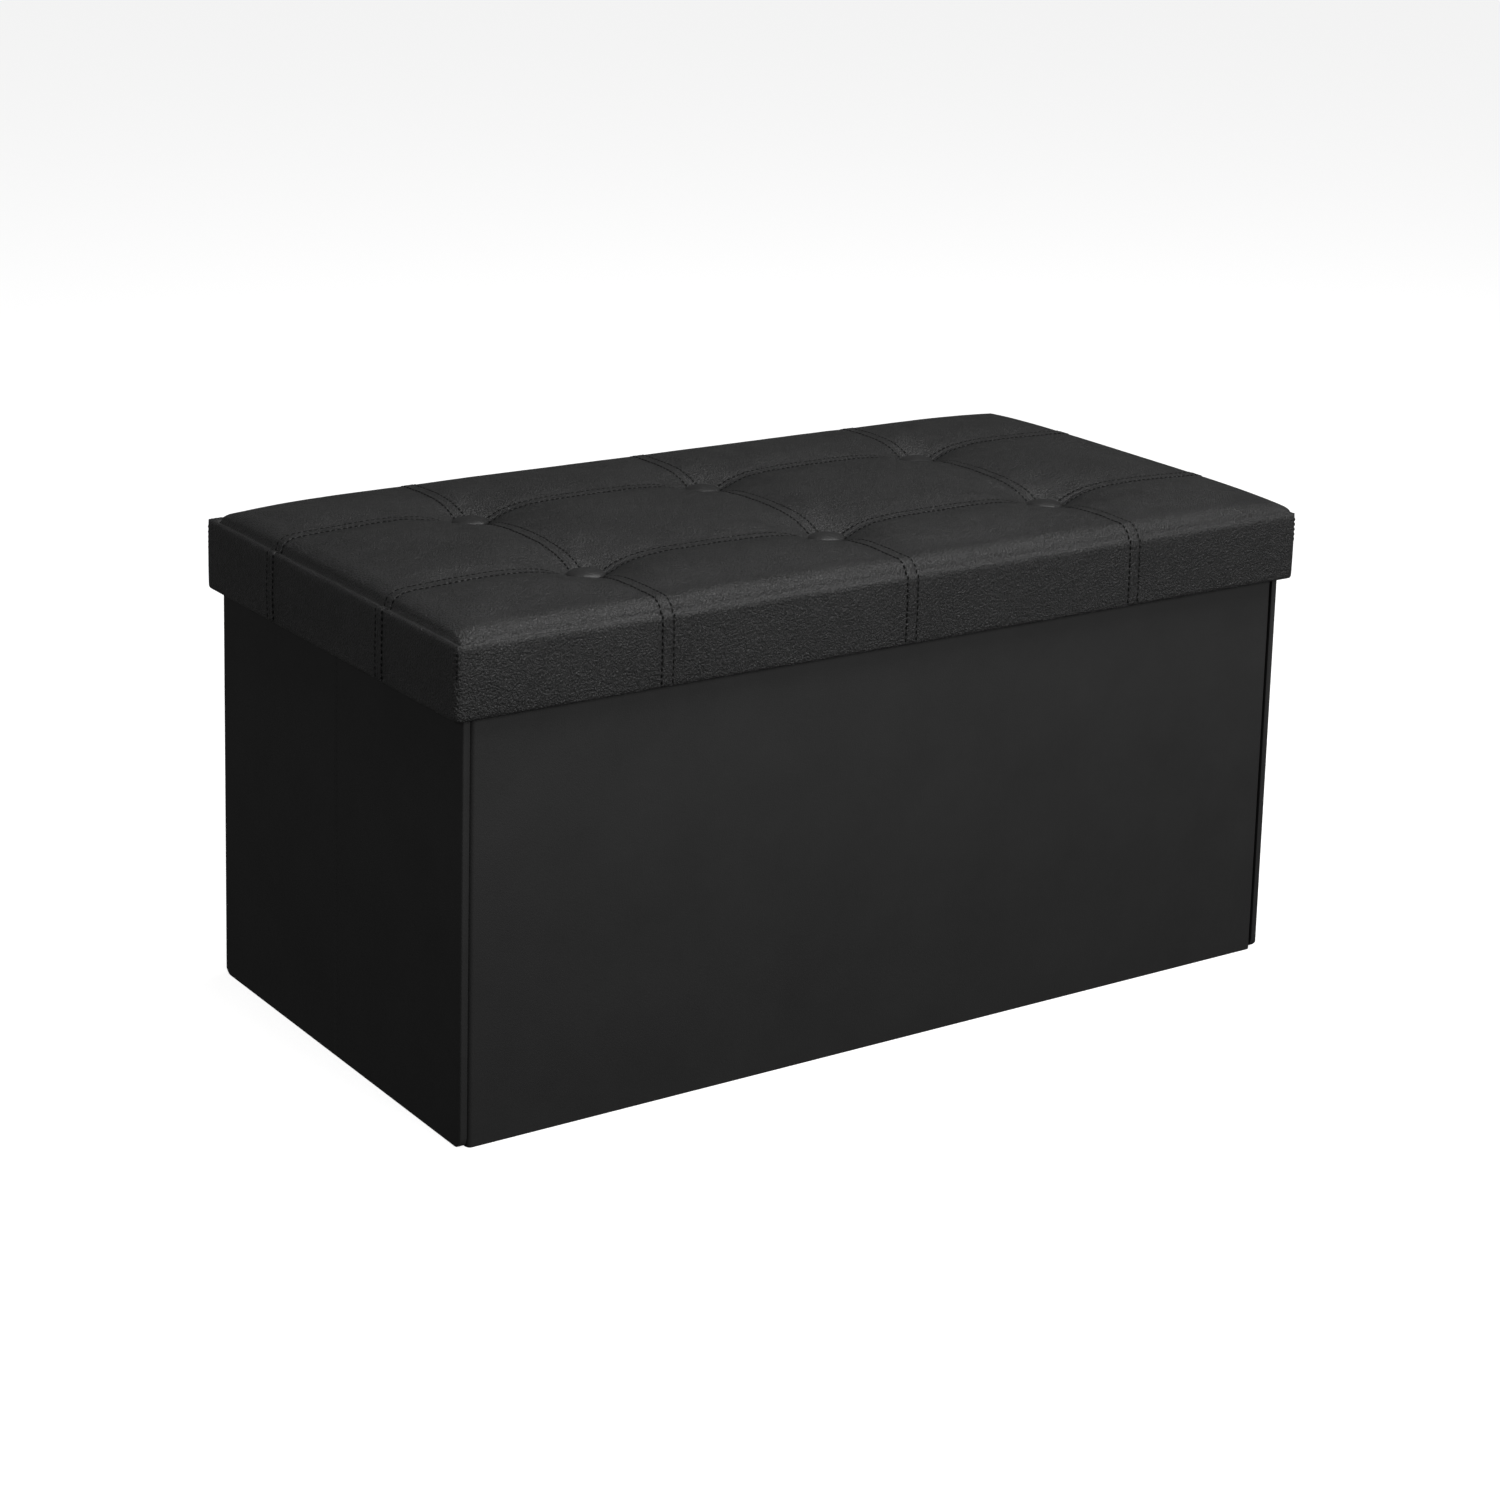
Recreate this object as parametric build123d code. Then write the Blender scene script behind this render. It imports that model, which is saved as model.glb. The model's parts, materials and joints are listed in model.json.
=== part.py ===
from build123d import *
import math
import os

# Folding storage ottoman: a padded lift-off lid, two long walls, two ends that
# each fold inward at a middle crease, and a loose base board.
# Millimetres. Origin on the floor under the middle of the lid, +X along the
# length, -Y to the front, +Z up.

# Box
BOX_LENGTH = 740.0
BOX_DEPTH = 374.0
WALL_TOP = 339.7
WALL_THICKNESS = 8.0
WALL_SKIN = 1.2
WALL_LINING = 0.8
LINING_SETBACK = 3.0
END_EDGE_RADIUS = 1.2
CORNER_RETURN = 6.0
LONG_EDGE_RADIUS = 1.6
FOOT_CORNER_RADIUS = 8.0

# Folding corners and creases
FOLD_GAP = 0.4
CORNER_BEAD_RADIUS = 1.0
CREASE_BEAD_RADIUS = 0.5
BEAD_CLEARANCE = 0.4

# Base board
BASE_END_GAP = 9.0
BASE_SIDE_GAP = 1.5
BASE_THICKNESS = 4.0
BASE_CLOTH = 0.5
BASE_CORNER_RADIUS = 10.0
TAB_LENGTH = 62.0
TAB_WIDTH = 26.0
TAB_THICKNESS = 0.9
TAB_INSET = 8.0

# Lid
LID_LENGTH = 760.0
LID_DEPTH = 390.0
LID_BOTTOM = 312.0
SKIRT_TOP = 364.0
LID_CROWN = 385.0
LID_SKIN = 1.0
SKIRT_BOARD = 4.5
SKIRT_RETURN = 0.8
SEAT_LEVEL = 340.0
LID_LINING = 0.6
LID_BOARD = 6.0
LID_CORNER_RADIUS = 5.0
SHOULDER_RADIUS = 19.0
SLIP = 0.1

# Buttons
BUTTON_PITCH = 212.0
BUTTON_ROW = 85.0
BUTTON_RADIUS = 14.5
BUTTON_RISE = 3.2
BUTTON_RIM = 1.5
SHANK_RADIUS = 4.0
SHANK_LENGTH = 2.6
SHANK_SEAT = 0.3
DIMPLE_RADIUS = 44.0
DIMPLE_FLOOR = 364.5
TWINE_RADIUS = 0.8
WASHER_RADIUS = 10.0
WASHER_THICKNESS = 1.5

# Staples
STAPLE_WIDTH = 10.0
STAPLE_WIRE = 0.7
STAPLE_DEPTH = 3.5
STAPLE_LEVEL = 330.0
STAPLES_LONG = 12
STAPLES_SHORT = 6

HALF_GAP = FOLD_GAP / 2
BUTTON_PLACES = [(x, y) for y in (-BUTTON_ROW, BUTTON_ROW) for x in (-BUTTON_PITCH, 0, BUTTON_PITCH)]


def block(x0, x1, y0, y1, z0, z1):
    """A box between two corners."""
    size = (x1 - x0, y1 - y0, z1 - z0)
    return Pos((x0 + x1) / 2, (y0 + y1) / 2, (z0 + z1) / 2) * Box(*size)


def slab(length, depth, z0, z1, corner_radius):
    """A centred plate with rounded upright corners."""
    return Pos(0, 0, z0) * extrude(RectangleRounded(length, depth, corner_radius), z1 - z0)


def upright(x, y, radius, z0, z1):
    """A standing cylinder."""
    return Pos(x, y, (z0 + z1) / 2) * Cylinder(radius, z1 - z0)


# Walls. A wall is drawn with its outer face on v = 0 and its length along u.
# A mitred end runs in at 45 degrees from the outer corner.

def wall_end(place, way, mitred, v0, v1, margin, cut=0, nose=0):
    """Points round one end of a wall, from its outer face to its inner face."""
    if not mitred:
        return [(place + way * margin, v0), (place + way * margin, v1)]
    run = margin * math.sqrt(2)
    inner = (place + way * (v1 + run), v1)
    if cut:
        return [(place + way * cut, v0), (place + way * cut, cut - run), inner]
    if nose:
        return [(place, v0), (place, nose), (place + way * (nose + run), nose), inner]
    return [(place + way * (v0 + run), v0), inner]


def wall_plan(start, end, mitres, v0, v1, margin, cut=0, nose=0):
    """Outline of one layer of a wall between depths v0 and v1, set in from the ends."""
    first = wall_end(start, 1, mitres[0], v0, v1, margin, cut, nose)
    last = wall_end(end, -1, mitres[1], v0, v1, margin, cut, nose)
    return Polygon(*last, *reversed(first), align=None)


def round_outer(plan, mitres, radius):
    """Rounds a plan's outer corners at its mitred ends."""
    outer = plan.vertices().sort_by(Axis.Y)[0:2].sort_by(Axis.X)
    rounded = [corner for corner, mitred in zip(outer, mitres) if mitred]
    return fillet(rounded, radius)


def wall_layer(start, end, mitres, v0, v1, margin, z_margin, radius=0, cut=0):
    """One flat layer of a wall: the board or the lining."""
    plan = wall_plan(start, end, mitres, v0, v1, margin, cut)
    if radius:
        plan = round_outer(plan, mitres, radius)
    height = WALL_TOP - 2 * z_margin
    return Pos(0, 0, z_margin) * extrude(plan, height)


def fold_axes(start, end, mitres):
    """Plan positions and bead radii of the upright fold lines at a wall's two ends."""
    inner = WALL_THICKNESS + HALF_GAP
    axes = []
    for place, way, mitred in ((start, 1, mitres[0]), (end, -1, mitres[1])):
        if mitred:
            axes.append((place + way * inner, inner, CORNER_BEAD_RADIUS))
        else:
            axes.append((place, -HALF_GAP, CREASE_BEAD_RADIUS))
    return axes


def wall_envelope(start, end, mitres, edge_radius, cut, nose):
    """The whole wall: rounded outer upright edges, rounded feet, room for the fold beads."""
    plan = wall_plan(start, end, mitres, 0, WALL_THICKNESS, HALF_GAP, cut, nose)
    body = extrude(round_outer(plan, mitres, edge_radius), WALL_TOP)
    front_view = Pos((start + end) / 2, WALL_TOP / 2) * Rectangle(end - start, WALL_TOP)
    feet = front_view.vertices().sort_by(Axis.Y)[0:2].sort_by(Axis.X)
    rounded = [corner for corner, mitred in zip(feet, mitres) if mitred]
    front_view = fillet(rounded, FOOT_CORNER_RADIUS)
    body &= extrude(Plane.XZ * front_view, WALL_THICKNESS * 2, both=True)
    for u, v, radius in fold_axes(start, end, mitres):
        body -= upright(u, v, radius + BEAD_CLEARANCE, -1, WALL_TOP + 1)
    return body


def wall_pieces(start, end, mitres, edge_radius, cut, nose):
    """Board, lining and cover of one wall, in the drawing frame."""
    board_inner = WALL_THICKNESS - WALL_LINING
    board_margin = HALF_GAP + WALL_SKIN + BEAD_CLEARANCE
    board = wall_layer(
        start, end, mitres, WALL_SKIN, board_inner, board_margin, WALL_SKIN + HALF_GAP,
        edge_radius - WALL_SKIN, cut + WALL_SKIN if cut else 0,
    )
    board = fillet_feet(board, start, end, mitres)
    lining = wall_layer(
        start, end, mitres, board_inner, WALL_THICKNESS, HALF_GAP + LINING_SETBACK, LINING_SETBACK
    )
    lining = fillet_feet(lining, start, end, mitres)
    cover = wall_envelope(start, end, mitres, edge_radius, cut, nose) - board - lining
    return {"board": board, "lining": lining, "cover": cover}


def fillet_feet(layer, start, end, mitres):
    """Cuts a layer's lower corners at the mitred ends so that it stays inside the cover."""
    reach = 2 * FOOT_CORNER_RADIUS + WALL_THICKNESS
    for place, way, mitred in ((start, 1, mitres[0]), (end, -1, mitres[1])):
        if mitred:
            corner = Polygon((place, 0), (place + way * reach, 0), (place, reach), align=None)
            layer -= extrude(Plane.XZ * corner, WALL_THICKNESS * 2, both=True)
    return layer


def bead(u, v, radius):
    """The rolled strip of cover on a fold line, which two walls turn about."""
    return upright(u, v, radius, WALL_SKIN, WALL_TOP - WALL_SKIN)


def placed(shape, side_angle, outer_distance):
    """Moves a wall from the drawing frame to its side of the box."""
    return Rot(0, 0, side_angle) * Pos(0, -outer_distance, 0) * shape


def box_nodes():
    """Six walls, four corner beads and two crease beads."""
    half_length = BOX_LENGTH / 2
    half_depth = BOX_DEPTH / 2
    both = (True, True)
    walls = [
        ("front_wall", 0, half_depth, -half_length, half_length, both),
        ("rear_wall", 180, half_depth, -half_length, half_length, both),
        ("right_front_half", 90, half_length, -half_depth, 0, (True, False)),
        ("right_rear_half", 90, half_length, 0, half_depth, (False, True)),
        ("left_rear_half", -90, half_length, -half_depth, 0, (True, False)),
        ("left_front_half", -90, half_length, 0, half_depth, (False, True)),
    ]
    nodes = {}
    for name, angle, distance, start, end, mitres in walls:
        if mitres == both:
            layers = wall_pieces(start, end, mitres, LONG_EDGE_RADIUS, CORNER_RETURN, 0)
        else:
            layers = wall_pieces(start, end, mitres, END_EDGE_RADIUS, 0, CORNER_RETURN - FOLD_GAP)
        for layer, shape in layers.items():
            nodes[f"{name}_{layer}"] = placed(shape, angle, distance)

    corner_beads = [bead(*axis) for axis in fold_axes(-half_length, half_length, both)]
    for name, angle, index in (
        ("front_left", 0, 0),
        ("front_right", 0, 1),
        ("rear_right", 180, 0),
        ("rear_left", 180, 1),
    ):
        nodes[f"{name}_corner_bead"] = placed(corner_beads[index], angle, half_depth)
    crease_bead = bead(0, -HALF_GAP, CREASE_BEAD_RADIUS)
    nodes["left_crease_bead"] = placed(crease_bead, -90, half_length)
    nodes["right_crease_bead"] = placed(crease_bead, 90, half_length)
    return nodes


def base_nodes():
    """The loose base board in its cloth cover, with a ribbon to lift it by."""
    length = BOX_LENGTH - 2 * (WALL_THICKNESS + BASE_END_GAP)
    depth = BOX_DEPTH - 2 * (WALL_THICKNESS + BASE_SIDE_GAP)
    outer = slab(length, depth, 0, BASE_THICKNESS, BASE_CORNER_RADIUS)
    board = slab(
        length - 2 * BASE_CLOTH,
        depth - 2 * BASE_CLOTH,
        BASE_CLOTH,
        BASE_THICKNESS - BASE_CLOTH,
        BASE_CORNER_RADIUS - BASE_CLOTH,
    )
    tab_start = -length / 2 + TAB_INSET
    tab = block(
        tab_start,
        tab_start + TAB_LENGTH,
        -TAB_WIDTH / 2,
        TAB_WIDTH / 2,
        BASE_THICKNESS,
        BASE_THICKNESS + TAB_THICKNESS,
    )
    tab = fillet(tab.edges().filter_by(Axis.Z).group_by(Axis.X)[-1], TAB_WIDTH / 4)
    return {"base_board": board, "base_cover": outer - board, "base_pull_tab": tab}


def staple_row(count, run, face_distance):
    """Staples along a skirt's inner face, drawn on the front skirt."""
    row = []
    for index in range(count):
        x = run * ((index + 0.5) / count - 0.5)
        face = -face_distance
        half = STAPLE_WIDTH / 2
        z0 = STAPLE_LEVEL
        z1 = STAPLE_LEVEL + STAPLE_WIRE
        staple = block(x - half, x + half, face, face + STAPLE_WIRE, z0, z1)
        for x0 in (x - half, x + half - STAPLE_WIRE):
            staple += block(x0, x0 + STAPLE_WIRE, face - STAPLE_DEPTH, face, z0, z1)
        row.append(staple)
    return row


def skirt_nodes():
    """Four upright skirt boards, the cover wrapped round each and the staples inside."""
    half_length = LID_LENGTH / 2
    half_depth = LID_DEPTH / 2
    board_inner = LID_SKIN + SKIRT_BOARD
    return_inner = board_inner + SKIRT_RETURN
    staples = []
    nodes = {}
    long_reach = half_length
    short_reach = half_depth - board_inner
    for name, angle, distance, reach, run_staples in (
        ("front", 0, half_depth, long_reach, STAPLES_LONG),
        ("rear", 180, half_depth, long_reach, STAPLES_LONG),
        ("left", -90, half_length, short_reach, STAPLES_SHORT),
        ("right", 90, half_length, short_reach, STAPLES_SHORT),
    ):
        long_side = angle in (0, 180)
        board_reach = reach - LID_SKIN if long_side else reach - SKIRT_RETURN
        board = block(
            -board_reach, board_reach, -distance + LID_SKIN, -distance + board_inner,
            LID_BOTTOM + LID_SKIN, SKIRT_TOP,
        )
        return_reach = reach if long_side else reach - SKIRT_RETURN
        wrap = block(
            -return_reach, return_reach, -distance, -distance + return_inner, LID_BOTTOM, SEAT_LEVEL
        )
        wrap += block(-reach, reach, -distance, -distance + board_inner, SEAT_LEVEL, SKIRT_TOP)
        if long_side:
            wrap = fillet(wrap.edges().filter_by(Axis.Z).group_by(Axis.Y)[0], LID_CORNER_RADIUS)
            board_corners = board.edges().filter_by(Axis.Z).group_by(Axis.Y)[0]
            board = fillet(board_corners, LID_CORNER_RADIUS - LID_SKIN)
        row = staple_row(run_staples, 2 * board_reach, distance - return_inner)
        cover = wrap - board
        for staple in row:
            board -= staple
            cover -= staple
        turn = Rot(0, 0, angle)
        nodes[f"lid_skirt_board_{name}"] = turn * board
        nodes[f"lid_skirt_cover_{name}"] = turn * cover
        staples += [turn * staple for staple in row]
    nodes["lid_staples"] = Compound(children=staples)
    return nodes


def dimples(radius):
    """Spheres that hollow the padding under each button."""
    centre = DIMPLE_FLOOR + DIMPLE_RADIUS
    return [Pos(x, y, centre) * Sphere(radius) for x, y in BUTTON_PLACES]


def padding(length, depth, z0, z1, shoulder):
    """A block with a rolled top edge."""
    shape = slab(length, depth, z0, z1, LID_CORNER_RADIUS)
    return fillet(shape.faces().sort_by(Axis.Z)[-1].outer_wire().edges(), shoulder)


def button():
    """One covered button: a low dome on a rim, with a shank behind."""
    rim_level = DIMPLE_FLOOR + SHANK_LENGTH
    dome_level = rim_level + BUTTON_RIM
    dome_radius = (BUTTON_RADIUS**2 + BUTTON_RISE**2) / (2 * BUTTON_RISE)
    dome = Pos(0, 0, dome_level + BUTTON_RISE - dome_radius) * Sphere(dome_radius)
    dome &= upright(0, 0, BUTTON_RADIUS, dome_level, dome_level + 2 * BUTTON_RISE)
    rim = upright(0, 0, BUTTON_RADIUS, rim_level, dome_level)
    shank = upright(0, 0, SHANK_RADIUS, DIMPLE_FLOOR + SHANK_SEAT, rim_level)
    return dome + rim + shank


def lid_nodes():
    """Lid board, lining, foam, top cover and the buttons tied through them."""
    inner = 2 * (LID_SKIN + SKIRT_BOARD + SLIP)
    length = LID_LENGTH - inner
    depth = LID_DEPTH - inner
    board_bottom = SEAT_LEVEL + LID_LINING
    board_top = board_bottom + LID_BOARD
    board = block(-length / 2, length / 2, -depth / 2, depth / 2, board_bottom, board_top)
    lining = block(-length / 2, length / 2, -depth / 2, depth / 2, SEAT_LEVEL, board_bottom)

    foam = padding(length, depth, board_top, LID_CROWN - LID_SKIN, SHOULDER_RADIUS - LID_SKIN)
    for hollow in dimples(DIMPLE_RADIUS + LID_SKIN):
        foam -= hollow
    dome = padding(
        length + 2 * LID_SKIN, depth + 2 * LID_SKIN, SKIRT_TOP, LID_CROWN, SHOULDER_RADIUS
    )
    rim = slab(LID_LENGTH, LID_DEPTH, SKIRT_TOP, SKIRT_TOP + LID_SKIN, LID_CORNER_RADIUS)
    cover = dome + rim
    for hollow in dimples(DIMPLE_RADIUS):
        cover -= hollow
    cover -= foam

    washer_top = board_bottom + WASHER_THICKNESS
    buttons = []
    twines = []
    washers = []
    for x, y in BUTTON_PLACES:
        twine = upright(x, y, TWINE_RADIUS, board_bottom, DIMPLE_FLOOR + SHANK_SEAT)
        washer = upright(x, y, WASHER_RADIUS, board_bottom, washer_top)
        board -= washer
        board -= twine
        foam -= twine
        cover -= twine
        buttons.append(Pos(x, y, 0) * button())
        twines.append(twine)
        washers.append(washer - twine)
    return {
        "lid_board": board,
        "lid_lining": lining,
        "lid_foam": foam,
        "lid_top_cover": cover,
        "lid_buttons": Compound(children=buttons),
        "lid_button_twine": Compound(children=twines),
        "lid_button_washers": Compound(children=washers),
    }


os.makedirs("parts", exist_ok=True)
for node_name, node_shape in {**base_nodes(), **box_nodes(), **skirt_nodes(), **lid_nodes()}.items():
    export_step(node_shape, f"parts/{node_name}.step")
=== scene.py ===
import json
import math

import bmesh
import bpy
from mathutils import Matrix, Vector, noise
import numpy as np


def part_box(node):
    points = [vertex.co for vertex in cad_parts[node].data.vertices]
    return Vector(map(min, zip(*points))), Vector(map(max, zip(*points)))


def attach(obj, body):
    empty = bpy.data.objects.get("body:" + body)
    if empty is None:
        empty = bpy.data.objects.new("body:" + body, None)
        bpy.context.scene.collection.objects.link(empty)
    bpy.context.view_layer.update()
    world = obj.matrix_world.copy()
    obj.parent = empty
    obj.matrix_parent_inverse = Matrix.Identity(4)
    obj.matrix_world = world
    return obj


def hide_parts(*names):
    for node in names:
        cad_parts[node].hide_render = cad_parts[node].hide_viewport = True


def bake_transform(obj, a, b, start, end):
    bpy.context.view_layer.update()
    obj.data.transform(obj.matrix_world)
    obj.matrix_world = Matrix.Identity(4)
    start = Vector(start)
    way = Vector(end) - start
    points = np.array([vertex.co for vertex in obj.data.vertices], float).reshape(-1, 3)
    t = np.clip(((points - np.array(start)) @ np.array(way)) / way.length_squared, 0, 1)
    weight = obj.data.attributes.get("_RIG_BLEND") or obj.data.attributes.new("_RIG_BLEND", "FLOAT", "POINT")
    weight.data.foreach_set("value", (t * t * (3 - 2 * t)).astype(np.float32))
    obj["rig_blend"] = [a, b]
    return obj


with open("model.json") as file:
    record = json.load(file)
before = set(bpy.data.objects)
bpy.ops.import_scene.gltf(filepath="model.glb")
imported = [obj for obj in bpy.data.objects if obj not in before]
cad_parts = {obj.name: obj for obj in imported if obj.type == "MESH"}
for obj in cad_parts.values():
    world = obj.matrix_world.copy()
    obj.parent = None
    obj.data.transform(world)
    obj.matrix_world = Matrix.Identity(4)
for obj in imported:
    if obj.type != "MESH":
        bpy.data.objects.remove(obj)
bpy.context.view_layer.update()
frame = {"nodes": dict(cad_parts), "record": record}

MM = 0.001

# Places taken from the frame, in metres
LID_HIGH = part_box("lid_top_cover")[1]
SKIRT_LOW, SKIRT_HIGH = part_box("lid_skirt_cover_front")
SKIRT_DEEP = SKIRT_HIGH.y - SKIRT_LOW.y
BUTTONS_LOW, BUTTONS_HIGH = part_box("lid_buttons")
FRONT_LOW, FRONT_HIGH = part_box("front_wall_cover")

HALF_LENGTH = LID_HIGH.x
HALF_DEPTH = LID_HIGH.y
SKIRT_TOP = SKIRT_HIGH.z
SKIRT_BOTTOM = SKIRT_LOW.z
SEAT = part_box("lid_board")[0].z

BUTTON_RADIUS = 14.5 * MM
BUTTON_PITCH = BUTTONS_HIGH.x - BUTTON_RADIUS
BUTTON_ROW = BUTTONS_HIGH.y - BUTTON_RADIUS
BUTTON_TOP = BUTTONS_HIGH.z
BUTTON_PLACES = [(x, y) for y in (-BUTTON_ROW, BUTTON_ROW) for x in (-BUTTON_PITCH, 0, BUTTON_PITCH)]
CROSS_SEAMS = (-BUTTON_PITCH, 0.0, BUTTON_PITCH)
LONG_SEAMS = (-BUTTON_ROW, BUTTON_ROW)

WALL = FRONT_HIGH.y - FRONT_LOW.y
WALL_TOP = FRONT_HIGH.z
BOX_HALF_LENGTH = -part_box("left_front_half_cover")[0].x
BOX_HALF_DEPTH = -FRONT_LOW.y

# Stitching
ROW_OFFSET = 4.6 * MM
STITCH_PITCH = 4.7 * MM
STITCH_LENGTH = 3.1 * MM
THREAD = 1.5 * MM


# ---------------------------------------------------------------- materials

def material(name):
    """A new node material, its tree and its shader."""
    made = bpy.data.materials.new(name)
    made.use_nodes = True
    tree = made.node_tree
    return made, tree, tree.nodes["Principled BSDF"]


def add(tree, kind, **values):
    """A node with its properties and inputs set by name."""
    node = tree.nodes.new(kind)
    for key, value in values.items():
        if key in node.inputs:
            node.inputs[key].default_value = value
        else:
            setattr(node, key, value)
    return node


def textured(tree, kind, scale, **values):
    """A texture that reads the piece's own coordinates, in cells per metre."""
    place = next((n for n in tree.nodes if n.type == "TEX_COORD"), None)
    if place is None:
        place = tree.nodes.new("ShaderNodeTexCoord")
    texture = add(tree, kind, Scale=scale, **values)
    tree.links.new(place.outputs["Object"], texture.inputs["Vector"])
    return texture


def ramp(tree, source, stops):
    """Colours or greys spread over a texture's range."""
    node = tree.nodes.new("ShaderNodeValToRGB")
    elements = node.color_ramp.elements
    while len(elements) < len(stops):
        elements.new(0.5)
    for element, (place, tone) in zip(elements, stops):
        element.position = place
        element.color = (*tone, 1) if isinstance(tone, tuple) else (tone, tone, tone, 1)
    tree.links.new(source, node.inputs["Fac"])
    return node.outputs["Color"]


def bumped(tree, shader, layers):
    """Stacks bumps, each (height output, strength, distance in metres)."""
    normal = None
    for height, strength, distance in layers:
        bump = add(tree, "ShaderNodeBump", Strength=strength, Distance=distance)
        tree.links.new(height, bump.inputs["Height"])
        if normal is not None:
            tree.links.new(normal, bump.inputs["Normal"])
        normal = bump.outputs["Normal"]
    tree.links.new(normal, shader.inputs["Normal"])


def vinyl(name, dark, light, rough_low, rough_high, gloss, grain, grain_depth):
    """Black faux leather: short irregular wrinkles, fine pebbles and slow changes of tone."""
    made, tree, shader = material(name)
    pebble = textured(
        tree, "ShaderNodeTexVoronoi", grain, feature="SMOOTH_F1", Smoothness=0.5, Randomness=1.0
    )
    wrinkle = textured(
        tree, "ShaderNodeTexNoise", grain * 0.8, Detail=3.0, Roughness=0.65, Distortion=1.2
    )
    drift = textured(tree, "ShaderNodeTexNoise", 17.0, Detail=4.0, Roughness=0.62)
    wear = textured(tree, "ShaderNodeTexNoise", 95.0, Detail=5.0, Distortion=0.9)
    shader.inputs["Specular IOR Level"].default_value = gloss
    tone = ramp(tree, drift.outputs["Fac"], [(0.3, dark), (0.72, light)])
    roughness = ramp(tree, wear.outputs["Fac"], [(0.3, rough_low), (0.7, rough_high)])
    tree.links.new(tone, shader.inputs["Base Color"])
    tree.links.new(roughness, shader.inputs["Roughness"])
    bumped(tree, shader, [
        (wear.outputs["Fac"], 0.3, 0.2 * MM),
        (wrinkle.outputs["Fac"], 1.0, grain_depth * 2.2),
        (pebble.outputs["Distance"], 1.0, grain_depth),
    ])
    return made


def cloth(name, dark, light, scale):
    """A thin matt cloth: crossed threads with fuzz."""
    made, tree, shader = material(name)
    warp = textured(
        tree, "ShaderNodeTexWave", scale, bands_direction="DIAGONAL", Distortion=1.2, Detail=2.0
    )
    fuzz = textured(tree, "ShaderNodeTexNoise", scale * 1.7, Detail=5.0)
    tone = ramp(tree, fuzz.outputs["Fac"], [(0.3, dark), (0.7, light)])
    roughness = ramp(tree, fuzz.outputs["Fac"], [(0.3, 0.82), (0.7, 0.97)])
    tree.links.new(tone, shader.inputs["Base Color"])
    tree.links.new(roughness, shader.inputs["Roughness"])
    shader.inputs["Specular IOR Level"].default_value = 0.2
    bumped(tree, shader, [(warp.outputs["Fac"], 0.5, 0.15 * MM), (fuzz.outputs["Fac"], 0.5, 0.1 * MM)])
    return made


def fibreboard():
    """Raw pressed board: short pale and brown fibres."""
    made, tree, shader = material("raw_fibreboard")
    fibres = textured(tree, "ShaderNodeTexNoise", 900.0, Detail=6.0, Distortion=1.5)
    patches = textured(tree, "ShaderNodeTexNoise", 40.0, Detail=3.0)
    mix = add(tree, "ShaderNodeMix", data_type="RGBA", blend_type="MULTIPLY")
    mix.inputs["Factor"].default_value = 0.6
    tone = ramp(tree, fibres.outputs["Fac"], [(0.3, (0.26, 0.17, 0.1)), (0.7, (0.5, 0.37, 0.24))])
    shade = ramp(tree, patches.outputs["Fac"], [(0.3, 0.75), (0.7, 1.0)])
    roughness = ramp(tree, fibres.outputs["Fac"], [(0.2, 0.7), (0.8, 0.9)])
    tree.links.new(tone, mix.inputs["A"])
    tree.links.new(shade, mix.inputs["B"])
    tree.links.new(mix.outputs["Result"], shader.inputs["Base Color"])
    tree.links.new(roughness, shader.inputs["Roughness"])
    bumped(tree, shader, [(fibres.outputs["Fac"], 0.4, 0.1 * MM)])
    return made


def foam_finish():
    """Open-cell foam: small pits in a cream ground."""
    made, tree, shader = material("seat_foam")
    cells = textured(tree, "ShaderNodeTexVoronoi", 700.0)
    tone = ramp(tree, cells.outputs["Distance"], [(0.1, (0.6, 0.56, 0.42)), (0.6, (0.86, 0.83, 0.7))])
    roughness = ramp(tree, cells.outputs["Distance"], [(0.1, 0.8), (0.7, 0.97)])
    tree.links.new(tone, shader.inputs["Base Color"])
    tree.links.new(roughness, shader.inputs["Roughness"])
    bumped(tree, shader, [(cells.outputs["Distance"], 0.8, 0.4 * MM)])
    return made


def steel_finish():
    """Drawn steel wire and stamped washers."""
    made, tree, shader = material("plain_steel")
    shader.inputs["Metallic"].default_value = 1.0
    scratches = textured(tree, "ShaderNodeTexNoise", 1800.0, Detail=4.0, Distortion=2.0)
    tone = ramp(tree, scratches.outputs["Fac"], [(0.3, 0.42), (0.7, 0.62)])
    roughness = ramp(tree, scratches.outputs["Fac"], [(0.3, 0.28), (0.7, 0.45)])
    tree.links.new(tone, shader.inputs["Base Color"])
    tree.links.new(roughness, shader.inputs["Roughness"])
    bumped(tree, shader, [(scratches.outputs["Fac"], 0.2, 0.03 * MM)])
    return made


LID_VINYL = vinyl("lid_vinyl", 0.0155, 0.0225, 0.30, 0.40, 0.46, 640.0, 0.5 * MM)
WALL_VINYL = vinyl("wall_vinyl", 0.027, 0.031, 0.55, 0.62, 0.12, 1000.0, 0.05 * MM)
# The buttons' vinyl is a lighter copy of the lid's vinyl: painted highlight that makes the buttons read
# brighter than the cover around them.
BUTTON_VINYL_PAINTED_BRIGHT = vinyl("button_vinyl", 0.02, 0.028, 0.3, 0.38, 0.42, 800.0, 0.1 * MM)
EDGE_VINYL = vinyl("edge_vinyl", 0.004, 0.007, 0.5, 0.62, 0.25, 1100.0, 0.04 * MM)
LINING = cloth("lining_cloth", 0.012, 0.028, 900.0)
RIBBON = cloth("ribbon", 0.008, 0.018, 1500.0)
SEWING_THREAD = cloth("sewing_thread", 0.0015, 0.004, 2500.0)
TWINE = cloth("twine", 0.4, 0.6, 1800.0)
BOARD = fibreboard()
FOAM = foam_finish()
STEEL = steel_finish()

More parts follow.
